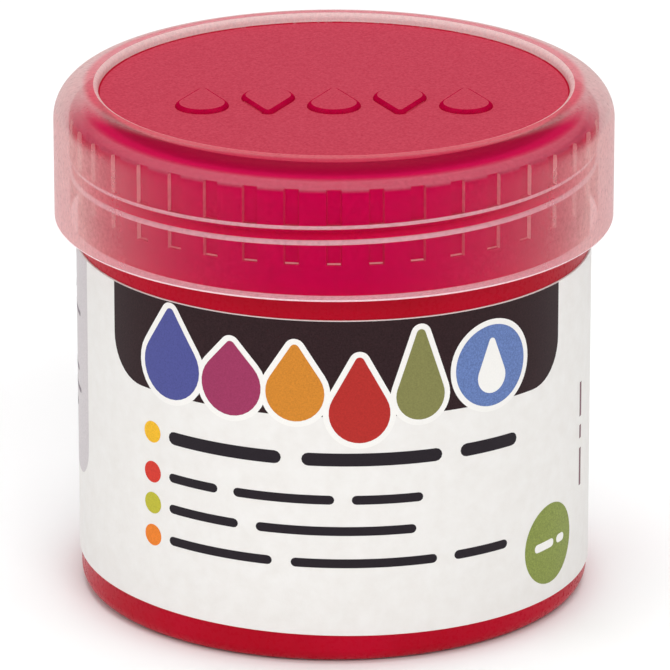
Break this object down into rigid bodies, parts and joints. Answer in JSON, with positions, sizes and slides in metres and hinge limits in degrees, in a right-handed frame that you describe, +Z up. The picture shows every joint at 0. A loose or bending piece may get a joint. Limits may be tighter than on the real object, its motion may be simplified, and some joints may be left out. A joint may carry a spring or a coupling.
{
  "type": "paint jar",
  "caption": "Round screw-top jar of acrylic paint with a wrap-around label, a loose sealing disc and a frosted screw lid with grip ribs inside.",
  "frame": {"origin": "centre of the foot ring, on the plane the jar stands on", "axes": "+Z up the jar's own axis, -Y towards the label's front panel, +X to that panel's right"},
  "size_m": [0.048, 0.048, 0.0448],
  "materials": {
    "pot_plastic": "gloss",
    "paint": "satin",
    "label_paper": "satin",
    "seal_foam": "matte",
    "lid_plastic": "satin"
  },
  "bodies": {
    "pot": {"pot": "pot_plastic", "paint": "paint", "label": "label_paper"},
    "seal": {"seal_disc": "seal_foam"},
    "lid": {"lid": "lid_plastic"}
  },
  "joints": [
    {"name": "lid_rise", "type": "slide", "parent": "pot", "child": "seal", "axis": [0, 0, 1], "range_m": [0, 0.0157]},
    {"name": "lid_turn", "type": "hinge", "parent": "seal", "child": "lid", "pos_m": [0, 0, 0.0387], "axis": [0, 0, 1], "range_deg": [0, 2160]}
  ],
  "couplings": [
    {"joint": "lid_rise", "follows": "lid_turn", "m_per_rad": 0.0004138}
  ]
}
